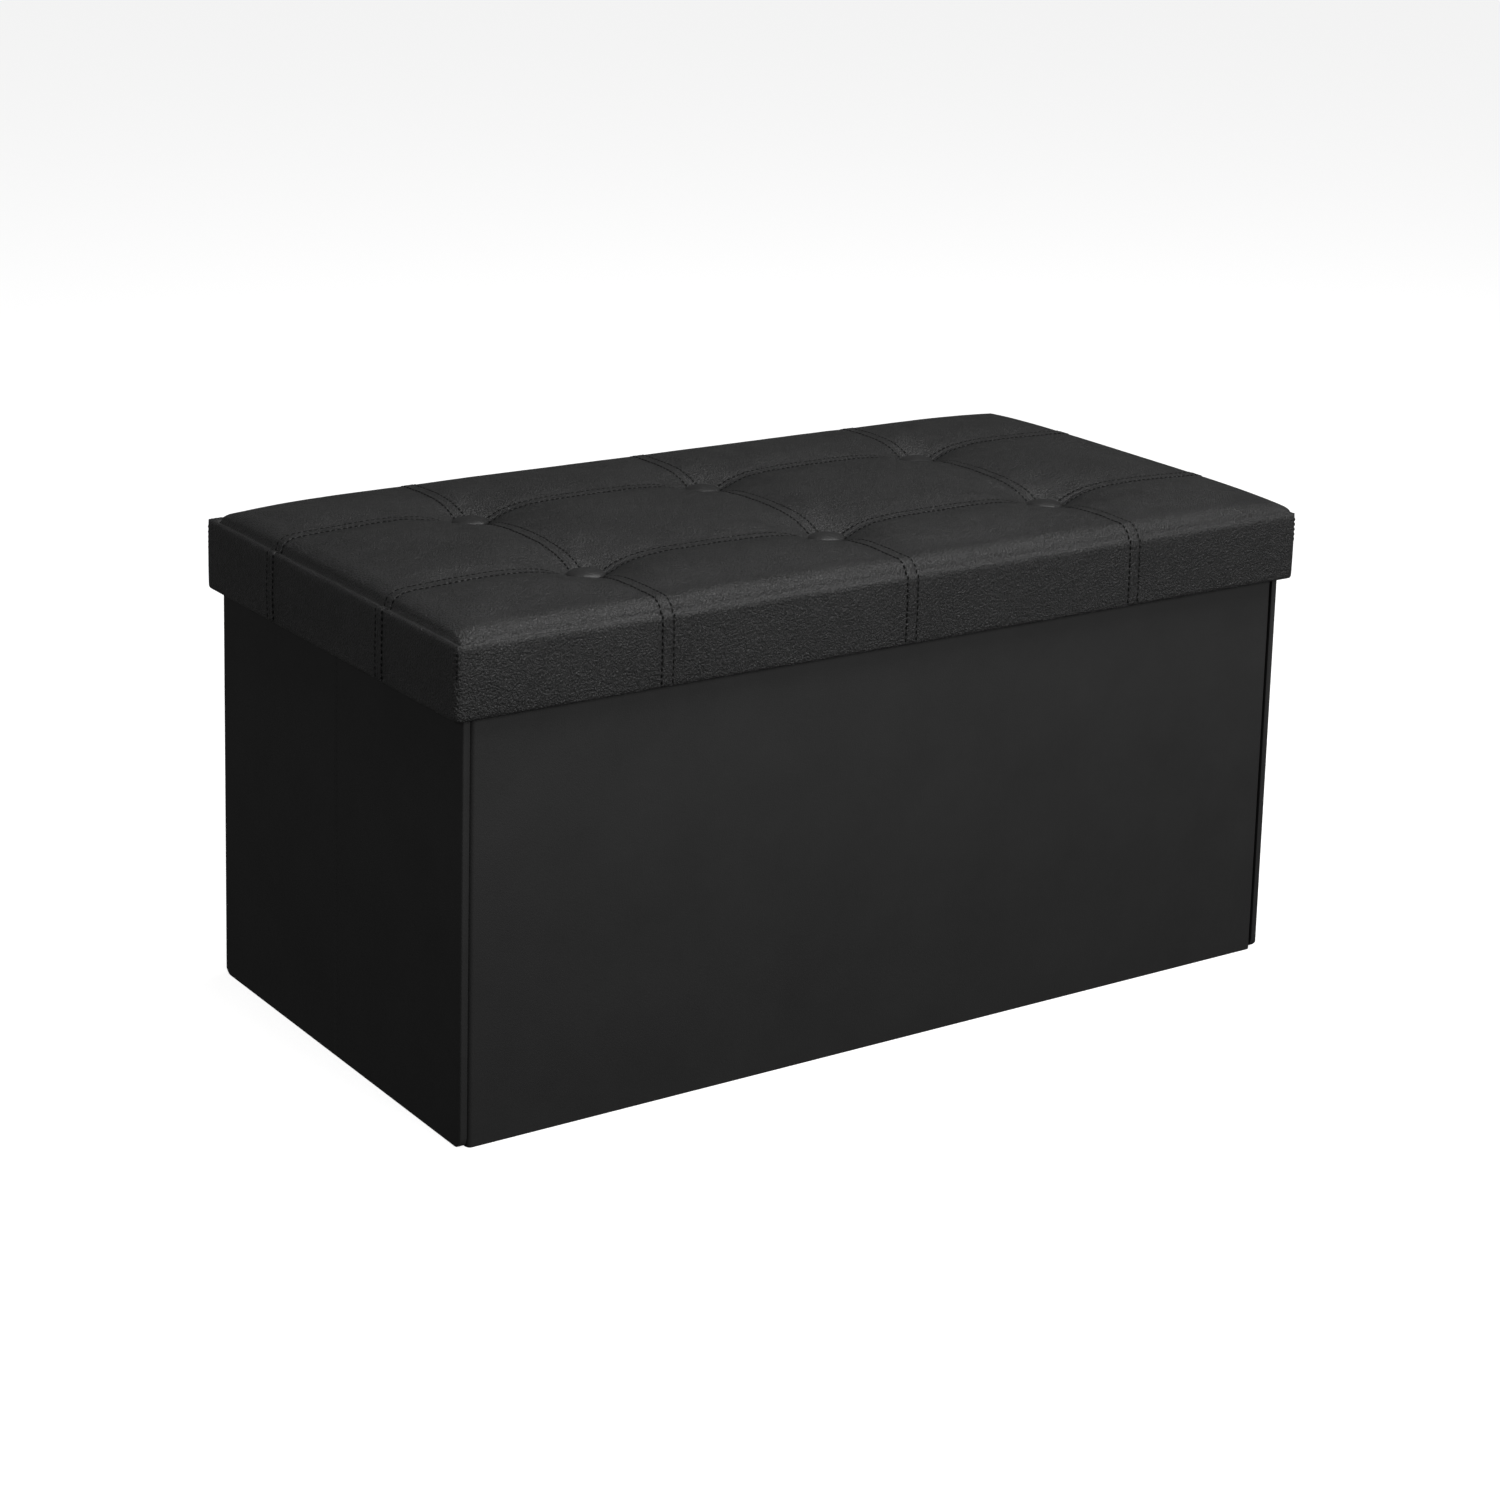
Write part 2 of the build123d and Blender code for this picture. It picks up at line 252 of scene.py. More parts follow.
SLOTS = {
    "board": BOARD,
    "lining_cloth": LINING,
    "ribbon": RIBBON,
    "edge_vinyl": EDGE_VINYL,
    "twine": TWINE,
    "steel": STEEL,
    "foam": FOAM,
    "lid_vinyl": LID_VINYL,
    "wall_vinyl": WALL_VINYL,
    "button_vinyl": BUTTON_VINYL_PAINTED_BRIGHT,
}


def finish_cad_nodes():
    """Gives every CAD node the finish that its slot names."""
    slot_of = {part["node"]: part["material_slot"] for part in frame["record"]["subparts"]}
    for name, node in frame["nodes"].items():
        node.data.materials.clear()
        node.data.materials.append(SLOTS[slot_of[name]])


# ---------------------------------------------------------------- making pieces

def piece(name, bm, finish, body, sharp=None):
    """Turns a bmesh into a named piece that rides on a body."""
    mesh = bpy.data.meshes.new(name)
    bm.to_mesh(mesh)
    bm.free()
    mesh.shade_smooth()
    if sharp is not None:
        mesh.set_sharp_from_angle(angle=math.radians(sharp))
    made = bpy.data.objects.new(name, mesh)
    bpy.context.scene.collection.objects.link(made)
    mesh.materials.append(finish)
    if body:
        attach(made, body)
    return made


def only(geom, kind):
    """The elements of one kind out of an operator's mixed result."""
    return [g for g in geom if isinstance(g, kind)]


def bell(distance, width):
    """A smooth bump of height 1 at distance 0."""
    return math.exp(-((distance / width) ** 2))


def smooth_step(t):
    """Goes gently from 0 to 1 while t goes from 0 to 1."""
    t = min(max(t, 0.0), 1.0)
    return t * t * (3 - 2 * t)


def quarter(t, power):
    """Rises from 0 to 1, upright at the start and level at the end."""
    t = min(max(t, 0.0), 1.0)
    return (1 - (1 - t) ** power) ** (1 / power)


def nearest(value, places):
    """Distance to the nearest of several places along a line."""
    return min(abs(value - place) for place in places)


# ---------------------------------------------------------------- the lid's shape

CORNER_ROUND = 5.5 * MM

# The padding's roll inward from the edge, and the crown it carries
ROLL_RISE = 10.6 * MM
ROLL_WIDTH = 15 * MM
ROLL_FULLNESS = 1.9
PAD_CORNER = 17 * MM
FULL_CORNER = 7.0 * MM
CORNER_LOSS = 0.5
CORNER_REACH = 38 * MM
CROWN_RISE = 3.4 * MM
CROWN_WIDTH = 115 * MM

# The ridge over the left end's board, and the crease behind it
CRISP_REACH = 75 * MM
RIDGE_RISE = 0.8 * MM
RIDGE_PLACE = 2.0 * MM
RIDGE_WIDTH = 1.3 * MM
CREASE_WIDTH = 0.9 * MM

# How far the buttons and the seams draw the cover down
DIP = 12.6 * MM
DIP_FLAT = 11 * MM
DIP_WIDTH = 20 * MM
PULL_REACH = 24 * MM
SEAM_WIDTH = 12 * MM


def crease_place(crisp):
    """How far in from the edge the padding starts: behind the board, or over it."""
    return (2.6 + 4.5 * crisp) * MM


def button_distance(x, y):
    """Distance to the middle of the nearest button."""
    return min(math.hypot(x - bx, y - by) for bx, by in BUTTON_PLACES)


def crispness(x, end_gap, front_gap):
    """How sharply the edge is creased: round the left end's corners, and along that end."""
    if x >= 0:
        return 0.0, 0.0
    by_corner = math.exp(-((end_gap / CRISP_REACH) ** 2))
    along_end = smooth_step((front_gap - end_gap) / (6 * MM) + 0.5)
    return by_corner, along_end * (1 - by_corner) + by_corner


def roll(inside_end, inside_front, corner):
    """The padding's roll, 0 where it starts and 1 where it has risen fully."""
    inside = min(inside_end, inside_front)
    if inside_end < corner and inside_front < corner:
        inside = corner - math.hypot(corner - inside_end, corner - inside_front)
    from_corner = max(inside_end, 0) + max(inside_front, 0)
    loss = CORNER_LOSS * math.exp(-from_corner / CORNER_REACH)
    return quarter(inside / ROLL_WIDTH, ROLL_FULLNESS) * (1 - loss)


def swell(inside):
    """The crown's slow rise across the lid, from 0 to 1."""
    return math.sin(math.pi / 2 * min(max(inside / CROWN_WIDTH, 0), 1))


def padded_height(x, y):
    """Height of the cover over the padding, as it would be with no buttons or seams."""
    end_gap = HALF_LENGTH - abs(x)
    front_gap = HALF_DEPTH - abs(y)
    edge = min(end_gap, front_gap)
    by_corner, crisp = crispness(x, end_gap, front_gap)
    inside_end = end_gap - crease_place(1.0 if x < 0 else 0.0) + 0.9 * MM
    inside_front = front_gap - crease_place(by_corner) + 0.5 * MM
    corner = PAD_CORNER if x < 0 and y < 0 else FULL_CORNER
    z = SKIRT_TOP + (1.0 + 0.3 * crisp) * MM * smooth_step(edge / (1.2 * MM))
    z += ROLL_RISE * roll(inside_end, inside_front, corner)
    z += CROWN_RISE * swell(inside_end) * swell(inside_front)
    z += RIDGE_RISE * crisp * bell(edge - RIDGE_PLACE, RIDGE_WIDTH)
    z -= (0.15 + 3.0 * crisp) * MM * bell(edge - crease_place(crisp), CREASE_WIDTH)
    return z


def drawn_down(x, y, inland):
    """How far the seams and the buttons draw the cover down at a point."""
    cross = nearest(x, CROSS_SEAMS)
    along = nearest(y, LONG_SEAMS)
    clear = max(button_distance(x, y) - DIP_FLAT, 0.0)
    pull = math.exp(-clear / PULL_REACH) * smooth_step(clear / (8 * MM))
    drop = 1.2 * inland * MM * math.exp(-((cross / SEAM_WIDTH) ** 1.4))
    drop += 0.9 * inland * MM * math.exp(-((along / SEAM_WIDTH) ** 1.4))
    drop += DIP * math.exp(-((clear / DIP_WIDTH) ** 1.15))
    drop += 3.0 * MM * pull * math.exp(-((along / (6 * MM)) ** 1.3))
    drop += 1.4 * MM * pull * math.exp(-((cross / (7 * MM)) ** 1.3))
    return drop


def lid_height(x, y):
    """Height of the finished cover over a point of the lid, before seams are sewn in."""
    edge = min(HALF_LENGTH - abs(x), HALF_DEPTH - abs(y))
    inland = smooth_step((edge - 7 * MM) / (14 * MM))
    spot = Vector((x, y, 0.4))
    uneven = 0.5 * MM * noise.noise(spot * 14) + 0.22 * MM * noise.noise(spot * 60)
    return padded_height(x, y) - drawn_down(x, y, inland) + uneven * inland


def stations(half, seams):
    """Grid lines across the lid: close together by the seams and the edge, wider elsewhere."""
    by_seam = [0, 0.9, 1.8, 2.7, 3.5, 4.1, 4.6, 5.1, 5.7, 6.6, 8, 10, 13]
    by_edge = [0, 0.7, 1.4, 2.1, 3, 4, 5, 6, 7, 8, 9, 10.2, 11.6, 13.4, 15.6, 18.4, 22, 27]
    widest = 5.0 * MM
    marks = {round(way * (half - step * MM), 7) for way in (-1, 1) for step in by_edge}
    marks |= {round(seam + way * step * MM, 7) for seam in seams for way in (-1, 1) for step in by_seam}
    marks = sorted(marks)
    lines = [marks[0]]
    for mark in marks[1:]:
        parts = max(1, math.ceil((mark - lines[-1]) / widest))
        begin = lines[-1]
        lines += [begin + (mark - begin) * (k + 1) / parts for k in range(parts)]
    return lines


SHEET_CELL = 5.0 * MM
SHEET_LENGTH = HALF_LENGTH - 8.0 * MM
SHEET_DEPTH = HALF_DEPTH - 8.0 * MM
SHEET_COLUMNS = round(2 * SHEET_LENGTH / SHEET_CELL)
SHEET_ROWS = round(2 * SHEET_DEPTH / SHEET_CELL)
SETTLING_FRAMES = 20
MOST_MOVE = 3.0 * MM


def sheet_spot(x, y):
    """Column and row of the sheet over a point of the lid, with their fractions."""
    column = (x / SHEET_LENGTH + 1) / 2 * SHEET_COLUMNS
    row = (y / SHEET_DEPTH + 1) / 2 * SHEET_ROWS
    return column, row


def held_down(x, y):
    """How firmly the sheet is held: by its seams, its buttons and its edge."""
    gap = min(SHEET_LENGTH - abs(x), SHEET_DEPTH - abs(y))
    return max(
        0.8 * bell(nearest(x, CROSS_SEAMS), 9 * MM),
        0.7 * bell(nearest(y, LONG_SEAMS), 9 * MM),
        1 - smooth_step((button_distance(x, y) - 14 * MM) / (22 * MM)),
        1 - smooth_step(gap / (30 * MM)),
    )


def plain_sheet():
    """A sheet laid over the padding, with its pins."""
    bm = bmesh.new()
    bmesh.ops.create_grid(bm, x_segments=SHEET_COLUMNS, y_segments=SHEET_ROWS, size=1.0)
    held = []
    for vert in bm.verts:
        x = vert.co.x * SHEET_LENGTH
        y = vert.co.y * SHEET_DEPTH
        vert.co = (x, y, lid_height(x, y))
        held.append(held_down(x, y))
    mesh = bpy.data.meshes.new("sheet")
    bm.to_mesh(mesh)
    bm.free()
    sheet = bpy.data.objects.new("sheet", mesh)
    bpy.context.scene.collection.objects.link(sheet)
    pins = sheet.vertex_groups.new(name="pins")
    for index, firmness in enumerate(held):
        pins.add([index], firmness, "REPLACE")
    return sheet


def add_cloth(sheet):
    """Makes the sheet a taut vinyl with a little air pressing up from below."""
    cloth_mod = sheet.modifiers.new("cloth", "CLOTH")
    settings = cloth_mod.settings
    settings.quality = 6
    settings.mass = 0.12
    settings.tension_stiffness = settings.compression_stiffness = 40
    settings.shear_stiffness = 20
    settings.bending_stiffness = 1.5
    settings.vertex_group_mass = "pins"
    settings.pin_stiffness = 4
    settings.shrink_min = -0.004
    settings.use_pressure = True
    settings.uniform_pressure_force = 2.5
    settings.effector_weights.gravity = 0
    cloth_mod.collision_settings.use_collision = False


def puffed_cover():
    """Lets the padding push up a sheet that is held at its seams, buttons and edge.

    Returns a function that gives the sheet's movement over any point of the lid.
    """
    sheet = plain_sheet()
    add_cloth(sheet)
    mesh = sheet.data
    before = [vert.co.copy() for vert in mesh.vertices]
    for number in range(1, SETTLING_FRAMES + 1):
        bpy.context.scene.frame_set(number)
    settled = sheet.evaluated_get(bpy.context.evaluated_depsgraph_get()).to_mesh()
    moved = {}
    for index, start in enumerate(before):
        move = settled.vertices[index].co - start
        limited = move.normalized() * MOST_MOVE * math.tanh(move.length / MOST_MOVE)
        column, row = sheet_spot(start.x, start.y)
        moved[round(column), round(row)] = limited
    bpy.data.objects.remove(sheet)
    bpy.data.meshes.remove(mesh)
    bpy.context.scene.frame_set(1)

    def move_at(x, y):
        u, v = sheet_spot(x, y)
        if not (0 <= u <= SHEET_COLUMNS and 0 <= v <= SHEET_ROWS):
            return Vector((0, 0, 0))
        column = min(int(u), SHEET_COLUMNS - 1)
        row = min(int(v), SHEET_ROWS - 1)
        low = moved[column, row].lerp(moved[column + 1, row], u - column)
        high = moved[column, row + 1].lerp(moved[column + 1, row + 1], u - column)
        return low.lerp(high, v - row)

    return move_at


# ---------------------------------------------------------------- the lid's cover

def rounded_plan(x, y, inset=0.0):
    """Moves a point of the square outline onto the lid's rounded outline, set in by inset."""
    side = CORNER_ROUND - (HALF_LENGTH - abs(x))
    front = CORNER_ROUND - (HALF_DEPTH - abs(y))
    if side > 0 and front > 0:
        pull = max(side, front) / math.hypot(side, front) * (CORNER_ROUND - inset) / CORNER_ROUND
        side *= pull
        front *= pull
        return Vector((
            math.copysign(HALF_LENGTH - CORNER_ROUND + side, x),
            math.copysign(HALF_DEPTH - CORNER_ROUND + front, y),
            0,
        ))
    return Vector((
        math.copysign(min(abs(x), HALF_LENGTH - inset), x),
        math.copysign(min(abs(y), HALF_DEPTH - inset), y),
        0,
    ))


def skirt_rings():
    """(height, inset) of each line of the cover below the lid's edge, hem and turn-in included."""
    rings = []
    z = SKIRT_TOP - 3.4 * MM
    while z > SKIRT_BOTTOM + 4.2 * MM:
        rings.append((z, 0.0))
        z -= 2.6 * MM
    turn = SKIRT_DEEP
    bottom = SKIRT_BOTTOM
    rings += [
        (bottom + 2.2 * MM, 0.05 * MM),
        (bottom + 1.0 * MM, 0.35 * MM),
        (bottom + 0.3 * MM, 1.0 * MM),
        (bottom, 2.2 * MM),
        (bottom, turn - 1.8 * MM),
        (bottom + 0.4 * MM, turn - 0.5 * MM),
        (bottom + 1.6 * MM, turn),
        (bottom + 10 * MM, turn),
        (SEAT - 1.0 * MM, turn),
    ]
    return rings


HEM_RINGS = 8
LAST_OUTSIDE = len(skirt_rings()) - HEM_RINGS


def seam_relief(distance):
    """A topstitched seam: a raised strip between two pulled-down rows of stitches."""
    strip = 0.5 * MM * smooth_step((ROW_OFFSET + 0.4 * MM - distance) / (1.6 * MM))
    groove = 0.3 * MM * bell(distance - ROW_OFFSET, 0.9 * MM)
    join = 0.2 * MM * bell(distance, 0.6 * MM)
    return strip - groove - join


def build_cover(move_at):
    """The whole lid cover as one sheet: top, edge, skirts, hem and turn-in."""
    xs = stations(HALF_LENGTH, CROSS_SEAMS)
    ys = stations(HALF_DEPTH, LONG_SEAMS)
    bm = bmesh.new()
    bmesh.ops.create_grid(bm, x_segments=len(xs) - 1, y_segments=len(ys) - 1, size=1.0)
    home_x = bm.verts.layers.float.new("home_x")
    home_y = bm.verts.layers.float.new("home_y")
    ring_of = bm.verts.layers.int.new("ring")
    for vert in bm.verts:
        x = xs[round((vert.co.x + 1) / 2 * (len(xs) - 1))]
        y = ys[round((vert.co.y + 1) / 2 * (len(ys) - 1))]
        vert[home_x] = x
        vert[home_y] = y
        vert.co = rounded_plan(x, y)
        vert.co.z = lid_height(vert.co.x, vert.co.y)
        vert.co += move_at(x, y)
    edge = [e for e in bm.edges if e.is_boundary]
    for number, (z, inset) in enumerate(skirt_rings(), start=1):
        made = bmesh.ops.extrude_edge_only(bm, edges=edge)["geom"]
        edge = only(made, bmesh.types.BMEdge)
        for vert in only(made, bmesh.types.BMVert):
            vert[ring_of] = number
            vert.co = rounded_plan(vert[home_x], vert[home_y], inset)
            vert.co.z = z
    bmesh.ops.recalc_face_normals(bm, faces=bm.faces)
    if max(bm.faces, key=lambda f: f.calc_center_median().z).normal.z < 0:
        bmesh.ops.reverse_faces(bm, faces=bm.faces)
    sew(bm, home_x, home_y, ring_of)
    return bm


def edge_ripple(x, y, z, ring):
    """Fine puckers along the front and rear edges, where the top meets the skirt."""
    front_gap = HALF_DEPTH - abs(y)
    if front_gap >= HALF_LENGTH - abs(x):
        return 0.0
    across = z - SKIRT_TOP if ring else front_gap
    wave = noise.noise(Vector((x * 170, across * 60, 2.0 + y)))
    specks = noise.noise(Vector((x * 420, across * 160, 5.0 + y)))
    return (0.3 * wave + 0.45 * specks) * MM * bell(across + 0.5 * MM, 4 * MM)


def skirt_swell(x, y, z):
    """The skirt's cover stands a little off its board, more at the middle, and waves slightly."""
    share = min(max((z - SKIRT_BOTTOM) / (SKIRT_TOP - SKIRT_BOTTOM), 0), 1)
    wave = noise.noise(Vector((x * 24, y * 24, z * 30)))
    return 0.35 * MM * math.sin(math.pi * share) + 0.3 * MM * wave


def sew(bm, home_x, home_y, ring_of):
    """Sinks the seams and puckers the edge where the top meets the skirt."""
    bm.normal_update()
    moves = []
    for vert in bm.verts:
        x, y, ring = vert[home_x], vert[home_y], vert[ring_of]
        z = vert.co.z
        lift = 0.0
        if z > SKIRT_BOTTOM + 0.5 * MM and ring <= LAST_OUTSIDE:
            lift += seam_relief(nearest(x, CROSS_SEAMS)) + seam_relief(nearest(y, LONG_SEAMS))
            lift += edge_ripple(x, y, z, ring)
            if ring:
                lift += skirt_swell(x, y, z)
        moves.append((vert, vert.normal.copy() * lift))
    for vert, move in moves:
        vert.co += move


def seam_paths(bm):
    """The lines of stitches over the cover, each a list of (place, normal) from hem to hem."""
    home = {"x": bm.verts.layers.float["home_x"], "y": bm.verts.layers.float["home_y"]}
    ring_of = bm.verts.layers.int["ring"]
    outside = [v for v in bm.verts if v[ring_of] <= LAST_OUTSIDE]
    paths = []
    for across, run, seams in (("x", "y", CROSS_SEAMS), ("y", "x", LONG_SEAMS)):
        for row in (seam + way * ROW_OFFSET for seam in seams for way in (-1, 1)):
            line = [v for v in outside if abs(v[home[across]] - row) < 0.01 * MM]
            near = [v for v in line if v[ring_of] and v[home[run]] < 0]
            top = [v for v in line if not v[ring_of]]
            far = [v for v in line if v[ring_of] and v[home[run]] > 0]
            near.sort(key=lambda v: v.co.z)
            top.sort(key=lambda v: v[home[run]])
            far.sort(key=lambda v: -v.co.z)
            paths.append([(v.co.copy(), v.normal.copy()) for v in near + top + far])
    return paths


def along_path(path, pitch):
    """Even steps along a path: (place, direction, normal)."""
    carried = pitch / 2
    for (a, na), (b, nb) in zip(path, path[1:]):
        step = b - a
        length = step.length
        while carried < length:
            t = carried / length
            yield a.lerp(b, t), step.normalized(), na.lerp(nb, t).normalized()
            carried += pitch
        carried -= length


def stitch_shape():
    """A single stitch of unit half length, lying along X."""
    bm = bmesh.new()
    bmesh.ops.create_uvsphere(
        bm, u_segments=6, v_segments=4, radius=1.0, matrix=Matrix.Rotation(math.pi / 2, 4, "Y")
    )
    shape = bpy.data.meshes.new("stitch")
    bm.to_mesh(shape)
    bm.free()
    return shape


def add_stitch(bm, place, direction, normal, length=STITCH_LENGTH, width=THREAD):
    """Lays one stitch in its groove."""
    side = normal.cross(direction).normalized()
    up = direction.cross(side)
    turn = Matrix((direction, side, up)).transposed().to_4x4()
    size = Matrix.Diagonal((length / 2, width / 2, width / 2.6, 1))
    one = STITCH.copy()
    one.transform(Matrix.Translation(place + normal * 0.3 * MM) @ turn @ size)
    bm.from_mesh(one)
    bpy.data.meshes.remove(one)


def sew_corners(threads):
    """A short upright row of stitches at each corner of the skirt."""
    for way_x in (-1, 1):
        for way_y in (-1, 1):
            out = Vector((way_x, way_y, 0)).normalized()
            centre_x = way_x * (HALF_LENGTH - CORNER_ROUND)
            centre_y = way_y * (HALF_DEPTH - CORNER_ROUND)
            for below in (4, 8, 12, 16, 20):
                place = Vector((centre_x, centre_y, 0)) + out * CORNER_ROUND
                place.z = SKIRT_TOP - below * MM
                add_stitch(threads, place, Vector((0, 0, 1)), out, length=2.6 * MM)


def make_lid_cover(move_at):
    """The cover and its stitching."""
    bm = build_cover(move_at)
    bm.normal_update()
    threads = bmesh.new()
    for path in seam_paths(bm):
        for place, direction, normal in along_path(path, STITCH_PITCH):
            if button_distance(place.x, place.y) > BUTTON_RADIUS - 1 * MM:
                add_stitch(threads, place, direction, normal)
    sew_corners(threads)
    cover = piece("lid_cover", bm, LID_VINYL, "lid")
    shell = cover.modifiers.new("thickness", "SOLIDIFY")
    shell.thickness = 0.7 * MM
    shell.offset = -1
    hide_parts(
        "lid_top_cover", "lid_skirt_cover_front", "lid_skirt_cover_rear",
        "lid_skirt_cover_left", "lid_skirt_cover_right",
    )
    piece("lid_stitching", threads, SEWING_THREAD, "lid")


def make_padding(move_at):
    """The foam under the cover, with the same hollows."""
    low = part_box("lid_foam")[0]
    slack = 2.6 * MM
    margin = 9.5 * MM
    cells_x, cells_y = 186, 93
    bm = bmesh.new()
    bmesh.ops.create_grid(bm, x_segments=cells_x, y_segments=cells_y, size=1.0)
    for vert in bm.verts:
        vert.co.x *= HALF_LENGTH - margin
        vert.co.y *= HALF_DEPTH - margin
        move = move_at(vert.co.x, vert.co.y)
        vert.co.z = lid_height(vert.co.x, vert.co.y) - slack
        vert.co += move
    edge = [e for e in bm.edges if e.is_boundary]
    made = bmesh.ops.extrude_edge_only(bm, edges=edge)["geom"]
    for vert in only(made, bmesh.types.BMVert):
        vert.co.z = low.z
    bmesh.ops.holes_fill(bm, edges=only(made, bmesh.types.BMEdge), sides=0)
    bmesh.ops.recalc_face_normals(bm, faces=bm.faces)
    foam = piece("lid_padding", bm, FOAM, "lid", sharp=50)
    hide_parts("lid_foam")


def gather_rim(bm, phase):
    """Small gathers round a button's rim, where its cover is drawn in."""
    for vert in bm.verts:
        out = Vector((vert.co.x, vert.co.y, 0))
        if out.length > 0.5 * BUTTON_RADIUS:
            turn = math.atan2(vert.co.y, vert.co.x)
            nearness = smooth_step((out.length / BUTTON_RADIUS - 0.6) / 0.35)
            vert.co += out.normalized() * 0.16 * MM * math.sin(turn * 12 + phase) * nearness


def make_buttons():
    """Covered buttons: low domes with a short shank."""
    low = BUTTONS_LOW.z
    top = BUTTON_TOP
    r = BUTTON_RADIUS
    profile = [
        (0, top), (0.28 * r, top - 0.25 * MM), (0.55 * r, top - 0.95 * MM), (0.78 * r, top - 1.9 * MM),
        (0.92 * r, top - 3.0 * MM), (0.99 * r, top - 4.1 * MM), (0.97 * r, top - 4.9 * MM),
        (0.8 * r, top - 5.3 * MM), (0.28 * r, top - 5.3 * MM), (0.27 * r, low), (0, low),
    ]
    all_buttons = bmesh.new()
    for x, y in BUTTON_PLACES:
        bm = bmesh.new()
        line = [bm.verts.new((radius, 0, z)) for radius, z in profile]
        edges = [bm.edges.new(pair) for pair in zip(line, line[1:])]
        bmesh.ops.spin(
            bm, geom=line + edges, cent=(0, 0, 0), axis=(0, 0, 1), angle=math.tau, steps=48,
            use_merge=True,
        )
        bmesh.ops.remove_doubles(bm, verts=bm.verts, dist=0.01 * MM)
        bmesh.ops.recalc_face_normals(bm, faces=bm.faces)
        gather_rim(bm, x * 40)
        bmesh.ops.translate(bm, verts=bm.verts, vec=(x, y, 0))
        one = bpy.data.meshes.new("button")
        bm.to_mesh(one)
        bm.free()
        all_buttons.from_mesh(one)
        bpy.data.meshes.remove(one)
    buttons = piece("lid_button_set", all_buttons, BUTTON_VINYL_PAINTED_BRIGHT, "lid")
    smooth = buttons.modifiers.new("smooth", "SUBSURF")
    smooth.levels = smooth.render_levels = 1
    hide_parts("lid_buttons")


# ---------------------------------------------------------------- walls

SKIN = 1.2 * MM
LINING_DEPTH = 0.8 * MM
LINING_SETBACK = 3.0 * MM
HALF_GAP = 0.2 * MM
FOOT = 8.0 * MM
EDGE_SOFTNESS = 1.0 * MM
END_TANGENT = 1.2 * MM
LONG_TANGENT = 3.9 * MM

# Front and rear walls stop at CORNER_CUT; the end walls return round the corner up to CORNER_RETURN
CORNER_CUT = 6.0 * MM
CORNER_RETURN = 5.4 * MM
POCKET_END = CORNER_CUT + SKIN
FOOT_CUTS = (1.5 * MM, 3 * MM, 5 * MM, 6.5 * MM, 8 * MM)

FULL = (True, True)
WALLS = [
    ("front_wall", 0, BOX_HALF_DEPTH, -BOX_HALF_LENGTH, BOX_HALF_LENGTH, FULL, LONG_TANGENT),
    ("rear_wall", 180, BOX_HALF_DEPTH, -BOX_HALF_LENGTH, BOX_HALF_LENGTH, FULL, LONG_TANGENT),
    ("right_front_half", 90, BOX_HALF_LENGTH, -BOX_HALF_DEPTH, 0.0, (True, False), END_TANGENT),
    ("right_rear_half", 90, BOX_HALF_LENGTH, 0.0, BOX_HALF_DEPTH, (False, True), END_TANGENT),
    ("left_rear_half", -90, BOX_HALF_LENGTH, -BOX_HALF_DEPTH, 0.0, (True, False), END_TANGENT),
    ("left_front_half", -90, BOX_HALF_LENGTH, 0.0, BOX_HALF_DEPTH, (False, True), END_TANGENT),
]


def end_place(place, way, mitred, depth, margin):
    """Where a wall ends along its length, at a depth behind its outer face."""
    return place + way * (depth + margin * math.sqrt(2) if mitred else margin)


def end_outline(place, way, mitred, whole):
    """Points round one end of a wall, from its outer face to its inner face.

    A front or rear wall is cut short at its corners, where the end walls return round them.
    """
    inner = (end_place(place, way, mitred, WALL, HALF_GAP), WALL)
    run = HALF_GAP * math.sqrt(2)
    if whole:
        cut = place + way * CORNER_CUT
        return [(cut, 0), (cut, CORNER_CUT - run), inner]
    if mitred:
        step = place + way * (CORNER_RETURN + run)
        return [(place, 0), (place, CORNER_RETURN), (step, CORNER_RETURN), inner]
    return [(end_place(place, way, mitred, 0, HALF_GAP), 0), inner]


def foot_rise(u, start, end, mitres):
    """How far the lower edge lifts where a mitred end's foot is rounded."""
    gaps = [gap for gap, mitred in zip((u - start, end - u), mitres) if mitred]
    inside = FOOT - max(min(gaps), 0.0)
    return FOOT - math.sqrt(FOOT**2 - inside**2) if inside > 0 else 0.0


def wall_block(start, end, mitres, tangent):
    """A wall's outline with rounded outer corners, raised to the wall's full height."""
    bm = bmesh.new()
    first = end_outline(start, 1, mitres[0], all(mitres))
    last = end_outline(end, -1, mitres[1], all(mitres))
    corners = [bm.verts.new((u, v, 0)) for u, v in first[:1] + last + first[:0:-1]]
    bm.faces.new(corners)
    rounded = [corner for corner, mitred in zip(corners[:2], mitres) if mitred]
    bmesh.ops.bevel(
        bm, geom=rounded, offset=tangent, offset_type="OFFSET", segments=8, profile=0.5,
        affect="VERTICES", material=-1,
    )
    floor = bm.faces[:][0]
    raised = bmesh.ops.extrude_face_region(bm, geom=[floor])["geom"]
    bmesh.ops.translate(bm, verts=only(raised, bmesh.types.BMVert), vec=(0, 0, WALL_TOP))
    return bm


def round_feet(bm, start, end, mitres):
    """Lifts the lower corners at a wall's mitred ends into an arc."""
    for place, way, mitred in ((start, 1, mitres[0]), (end, -1, mitres[1])):
        for step in FOOT_CUTS if mitred else ():
            bmesh.ops.bisect_plane(
                bm, geom=bm.verts[:] + bm.edges[:] + bm.faces[:],
                plane_co=(place + way * step, 0, 0), plane_no=(1, 0, 0),
            )
    for vert in bm.verts:
        if vert.co.z < MM:
            vert.co.z += foot_rise(vert.co.x, start, end, mitres)
    bmesh.ops.recalc_face_normals(bm, faces=bm.faces)


